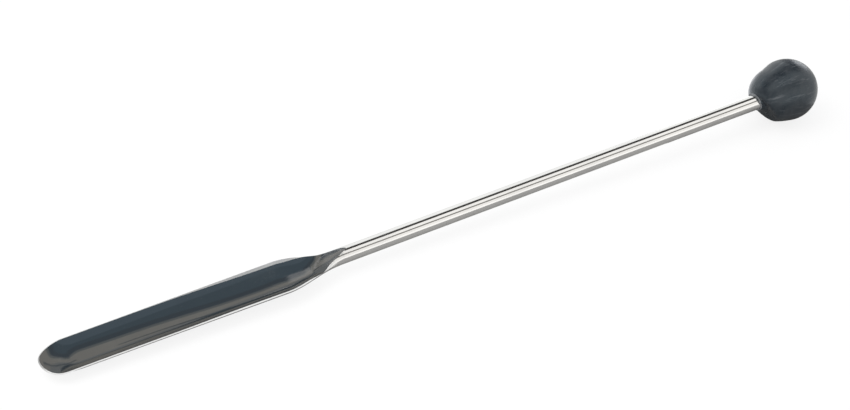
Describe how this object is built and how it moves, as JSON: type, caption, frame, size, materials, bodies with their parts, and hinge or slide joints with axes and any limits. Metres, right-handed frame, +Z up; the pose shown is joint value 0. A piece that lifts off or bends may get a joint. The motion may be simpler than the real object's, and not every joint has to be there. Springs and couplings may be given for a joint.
{
  "type": "lab spatula",
  "caption": "Round steel rod forged at one end into a shallow rounded trough for scooping powder, with a black ball grip on the other end.",
  "frame": {"origin": "centre of the object's box at the level of the bench that it lies on", "axes": "+X along the spatula towards the ball grip, +Y across the trough, +Z up out of the trough's open side"},
  "size_m": [0.209, 0.016, 0.0159],
  "materials": {
    "polished_steel": "polished stainless steel, ground satin on the trough's edge",
    "black_grip": "satin black, with fine handling scratches and smudges"
  },
  "bodies": {
    "root": {"trough_rod": "polished_steel", "ball_grip": "black_grip"}
  },
  "joints": []
}
